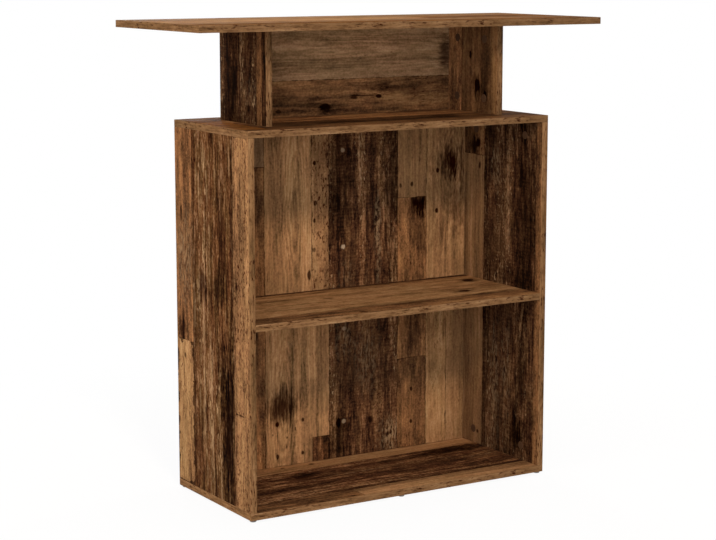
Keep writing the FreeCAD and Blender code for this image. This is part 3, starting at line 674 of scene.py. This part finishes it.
def print_board(piece, low, thick, across, grain, faces, band):
    """Gives each face its print or the edge band, and the attributes that the prints read."""
    mesh = piece.data
    kinds = sorted({each["kind"] for face in faces for each in face["planks"]})
    for kind in kinds:
        mesh.materials.append(PRINTS[kind])
    mesh.materials.append(EDGE_BAND)
    names = ["grain", "ring", "low_edge", "high_edge"]
    names += [f"{word}_{row}" for word in ("stain", "mark") for row in range(SPOTS_PER_FACE)]
    for name in names:
        mesh.attributes.new(name, "FLOAT_VECTOR", "CORNER")
    layers = {name: mesh.attributes[name].data for name in names}
    for polygon in mesh.polygons:
        flat = abs(polygon.normal[thick]) > FACE_NORMAL
        if flat:
            face = faces[0 if polygon.normal[thick] < 0 else 1]
            centre = [(polygon.center[axis] - low[axis]) / MM for axis in (across, grain)]
            each = inside(face["planks"], *centre)
            polygon.material_index = kinds.index(each["kind"])
            rim = [mesh.vertices[corner].co for corner in polygon.vertices]
            places = [[(point[axis] - low[axis]) / MM for axis in (across, grain)] for point in rim]
            stains_and_shade = nearest_spots(face["stains_and_shade"], each, places)
            marks = nearest_spots(face["marks"], each, places)
        else:
            polygon.material_index = len(kinds)
            along_axis = across if abs(polygon.normal[grain]) > END_NORMAL else grain
            # Edges that face left or right get painted light: their band is drawn paler.
            gain = band * (SIDEWAYS_EDGE_PAINTED_LIGHT if abs(polygon.normal[X]) > SIDEWAYS_NORMAL else 1.0)
        for corner in polygon.loop_indices:
            point = mesh.vertices[mesh.loops[corner].vertex_index].co
            values = {name: (FAR_AWAY, FAR_AWAY, 0.0) for name in names}
            if flat:
                side, along = [(point[axis] - low[axis]) / MM for axis in (across, grain)]
                values["grain"] = (side, along, each["cut"])
                ring_along = (along - each["along"]) / each["stretch"]
                values["ring"] = (side - each["side"], ring_along, each["gain"])
                values["low_edge"] = (side - each["low"], along - each["start"], 0.0)
                values["high_edge"] = (each["high"] - side, each["end"] - along, 0.0)
                for word, spots in (("stain", stains_and_shade), ("mark", marks)):
                    for row, spot in enumerate(spots):
                        spot_side = (side - spot[0]) / spot[2]
                        spot_along = (along - spot[1]) / spot[3]
                        values[f"{word}_{row}"] = (spot_side, spot_along, spot[4])
            else:
                depth, along = [(point[axis] - low[axis]) / MM for axis in (thick, along_axis)]
                values["grain"] = (depth + BAND_OFFSET, along, BAND_STEP * along_axis)
                values["ring"] = (FAR_AWAY, 0.0, gain)
            for name in names:
                layers[name][corner].vector = values[name]


def board(node, thick, grain, low_face, high_face, band=1.0):
    """A chipboard panel in the place of its CAD node: a block with its edges rounded, cut along its planks.
    band is the gain of its edge band."""
    low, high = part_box(node)
    across = ({X, Y, Z} - {thick, grain}).pop()
    faces = (low_face, high_face)
    bpy.ops.object.select_all(action="DESELECT")
    bpy.ops.mesh.primitive_cube_add(size=1.0, location=(low + high) / 2, scale=high - low)
    piece = bpy.context.active_object
    piece.name = node + "_board"
    bpy.ops.object.transform_apply(location=True, rotation=True, scale=True)
    bpy.context.tool_settings.mesh_select_mode = (False, True, False)
    bpy.ops.object.mode_set(mode="EDIT")
    bpy.ops.mesh.select_all(action="SELECT")
    bpy.ops.mesh.bevel(offset=EDGE_ROUND, segments=EDGE_ROUND_SEGMENTS, affect="EDGES")
    for line in cut_lines(faces, "low", "high", (high[across] - low[across]) / MM):
        bisect_at(across, low[across] + line * MM)
    for line in cut_lines(faces, "start", "end", (high[grain] - low[grain]) / MM):
        bisect_at(grain, low[grain] + line * MM)
    bpy.ops.object.mode_set(mode="OBJECT")
    bpy.ops.object.shade_smooth_by_angle(angle=math.radians(SMOOTH_ANGLE))
    print_board(piece, low, thick, across, grain, faces, band)
    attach(piece, "root")
    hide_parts(node)


board("countertop", Z, X, COUNTER_FACE, COUNTER_FACE, band=0.85)
board("riser_left_side", X, Z, RISER_SIDE_OUTER_FACE, RISER_SIDE_INNER_FACE)
board("riser_right_side", X, Z, RISER_SIDE_INNER_FACE, RISER_SIDE_OUTER_FACE)
board("riser_back", Y, X, RISER_BACK_FACE, RISER_BACK_FACE)
board("cabinet_top", Z, X, BOTTOM_FACE, CABINET_TOP_FACE, band=0.9)
board("left_side", X, Z, SIDE_OUTER_FACE, SIDE_INNER_FACE, band=1.15)
board("right_side", X, Z, SIDE_INNER_FACE, SIDE_OUTER_FACE, band=1.15)
board("shelf", Z, X, SHELF_FACE, SHELF_FACE)
board("back_panel", Y, Z, BACK_FACE, BACK_OUTER_FACE)
board("bottom_panel", Z, X, BOTTOM_FACE, BOTTOM_FACE, band=1.05)

FITTING_TONE_RANGE = (0.32, 0.68)
FITTING_ROUGHNESS_SWING = 0.06
FITTING_RELIEF = 0.0002


def speckled(name, shades, size, stretch=(1.0, 1.0, 1.0), roughness=0.5, metallic=0.0, ior=1.5, bump=0.05,
             specular=0.5):
    """A material of the small fittings: a two-tone noise, size mm across, with a little bump. In life such
    skins are finer than a tenth of a millimetre, and they are drawn as coarse as they need to show."""
    material, tree, surface = new_material(name)
    place = add(tree, "ShaderNodeTexCoord", out="Object")
    drawn = add(tree, "ShaderNodeVectorMath", {0: place, 1: stretch}, operation="MULTIPLY")
    noise = add(tree, "ShaderNodeTexNoise", {"Vector": drawn, "Scale": 1 / (size * MM), "Detail": 3.0})
    level = add(tree, "ShaderNodeMapRange", {0: noise, 1: FITTING_TONE_RANGE[0], 2: FITTING_TONE_RANGE[1]})
    colour = add(tree, "ShaderNodeMix", {0: level, 6: linear(shades[0]), 7: linear(shades[1])}, out=2,
                 data_type="RGBA")
    smoothest = roughness - FITTING_ROUGHNESS_SWING
    roughest = roughness + FITTING_ROUGHNESS_SWING
    rough = add(tree, "ShaderNodeMapRange",
                {0: noise, 1: SHEEN_RANGE[0], 2: SHEEN_RANGE[1], 3: smoothest, 4: roughest})
    relief = add(tree, "ShaderNodeBump",
                 {"Height": noise, "Strength": bump, "Distance": FITTING_RELIEF}, out="Normal")
    tree.links.new(colour, surface.inputs["Base Color"])
    tree.links.new(rough, surface.inputs["Roughness"])
    tree.links.new(relief, surface.inputs["Normal"])
    surface.inputs["Metallic"].default_value = metallic
    surface.inputs["IOR"].default_value = ior
    surface.inputs["Specular IOR Level"].default_value = specular
    return material


# Beech dowels: pale pink wood with short darker rays, rolled smooth.
beech = speckled("beech", ("#b98a5f", "#d3aa7c"), 1.2, (1.0, 1.0, 0.15), roughness=0.6)
# Zinc plated steel: bright, slightly blue grey, with the soft haze of the plating.
zinc_plate = speckled("zinc_plated_steel", ("#a9aeb2", "#c3c7ca"), 0.8, roughness=0.32, metallic=1.0)
# Die-cast zinc: a duller grey with the faint grain of the casting skin.
cast_zinc = speckled("die_cast_zinc", ("#8c8f90", "#a5a7a6"), 0.5, roughness=0.45, metallic=1.0, bump=0.2)
# Moulded polypropylene caps in a dull brown, with a fine spark-eroded grain.
cap_plastic = speckled("cap_polypropylene", ("#422c1c", "#503725"), 0.6, roughness=0.6, ior=1.49, bump=0.15,
                       specular=0.1)
# Moulded polyethylene glides in warm grey, with a fine matt grain.
glide_plastic = speckled("glide_polyethylene", ("#625d5a", "#7a7571"), 0.7, roughness=0.5, ior=1.51,
                         bump=0.15)

# The last word of a node's name says which fitting it holds.
FITTINGS = {"dowels": beech, "bolts": zinc_plate, "nails": zinc_plate, "nuts": cast_zinc,
            "covers": cap_plastic, "glides": glide_plastic}
for name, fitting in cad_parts.items():
    kind = name.rsplit("_", 1)[-1]
    if kind in FITTINGS:
        fitting.data.materials.clear()
        fitting.data.materials.append(FITTINGS[kind])


def seen_share(tree):
    """1 for rays that the eye sees a thing by, straight or by way of metal or glass, and 0 for other rays."""
    rays = add(tree, "ShaderNodeLightPath").node.outputs
    seen = add(tree, "ShaderNodeMath", {0: rays["Is Camera Ray"], 1: rays["Is Glossy Ray"]},
               operation="MAXIMUM")
    return add(tree, "ShaderNodeMath", {0: seen, 1: rays["Is Transmission Ray"]}, operation="MAXIMUM")


# The floor: matt white paper that keeps the desk's shadow near it and turns into the plain white background.
FLOOR_HALF = 6.0
SHADOW_REACH = 0.75
WHITE_REACH = 1.5
SHADOW_WHITE = 0.92
bpy.ops.object.select_all(action="DESELECT")
bpy.ops.mesh.primitive_plane_add(size=2 * FLOOR_HALF)
floor = bpy.context.active_object
floor.name = "floor"
paper, tree, surface = new_material("white_paper")
place = add(tree, "ShaderNodeTexCoord", out="Object")
reach = add(tree, "ShaderNodeVectorMath", {0: place}, out="Value", operation="LENGTH")
bare = add(tree, "ShaderNodeMapRange", {0: reach, 1: SHADOW_REACH, 2: WHITE_REACH, 3: SHADOW_WHITE, 4: 1.0},
           interpolation_type="SMOOTHSTEP")
share = add(tree, "ShaderNodeMath", {0: bare, 1: seen_share(tree)}, operation="MULTIPLY")
white = add(tree, "ShaderNodeEmission", {"Color": WHITE, "Strength": 1.0})
surface.inputs["Base Color"].default_value = linear("#f6f6f5")
surface.inputs["Roughness"].default_value = 0.9
mixed = add(tree, "ShaderNodeMixShader", {0: share, 1: surface.outputs[0], 2: white})
tree.links.new(mixed, tree.nodes["Material Output"].inputs["Surface"])
floor.data.materials.append(paper)

# The world: an even, slightly cool fill for the desk, plain white where it is seen.
FILL = 0.28
COOL_WHITE = "#ecf5fc"
WARM_WHITE = "#fff0e0"
world = bpy.data.worlds.new("studio")
bpy.context.scene.world = world
world.use_nodes = True
tree = world.node_tree
seen = seen_share(tree)
level = add(tree, "ShaderNodeMapRange", {0: seen, 3: FILL, 4: 1.0})
colour = add(tree, "ShaderNodeMix", {0: seen, 6: linear(COOL_WHITE), 7: WHITE}, out=2, data_type="RGBA")
tree.links.new(colour, tree.nodes["Background"].inputs["Color"])
tree.links.new(level, tree.nodes["Background"].inputs["Strength"])


def softbox(name, place, size, power, colour="#ffffff", aim=(0.0, 0.0, 0.6)):
    """A square soft lamp of the studio, turned towards a point in the middle of the desk."""
    lamp = bpy.data.lights.new(name, "AREA")
    lamp.size = size
    lamp.energy = power
    lamp.color = linear(colour)[:3]
    stand = bpy.data.objects.new(name, lamp)
    bpy.context.scene.collection.objects.link(stand)
    stand.location = place
    stand.rotation_euler = (Vector(aim) - Vector(place)).to_track_quat("-Z", "Y").to_euler()


softbox("key_softbox", (-2.1, -7.0, 6.0), 1.2, 490, "#ffeddb")
softbox("front_softbox", (-2.6, -3.7, 1.3), 2.0, 82, COOL_WHITE)
softbox("overhead_softbox", (0.0, -0.2, 4.2), 2.4, 24, aim=(0.0, 0.0, 0.8))
softbox("right_softbox", (4.2, 0.6, 1.5), 1.8, 80, WARM_WHITE)
softbox("rear_softbox", (0.8, 4.4, 1.5), 2.0, 80)
softbox("left_softbox", (-4.2, -0.9, 1.7), 1.8, 74, WARM_WHITE)

# The camera stands where the photograph was taken from, to the left of the desk's middle.
PHOTO_WIDTH = 716
FOCAL_PIXELS = 1913.8
SENSOR_WIDTH = 36.0
CAMERA_PLACE = (-2.2092, -3.5694, 1.1703)
CAMERA_TURN = 31.587
CAMERA_TILT = 9.334
camera_data = bpy.data.cameras.new("camera")
camera_data.sensor_width = SENSOR_WIDTH
camera_data.lens = SENSOR_WIDTH * FOCAL_PIXELS / PHOTO_WIDTH
camera = bpy.data.objects.new("camera", camera_data)
bpy.context.scene.collection.objects.link(camera)
camera.location = CAMERA_PLACE
camera.rotation_euler = (math.radians(90 - CAMERA_TILT), 0.0, math.radians(-CAMERA_TURN))
bpy.context.scene.camera = camera
bpy.context.scene.view_settings.view_transform = "Standard"
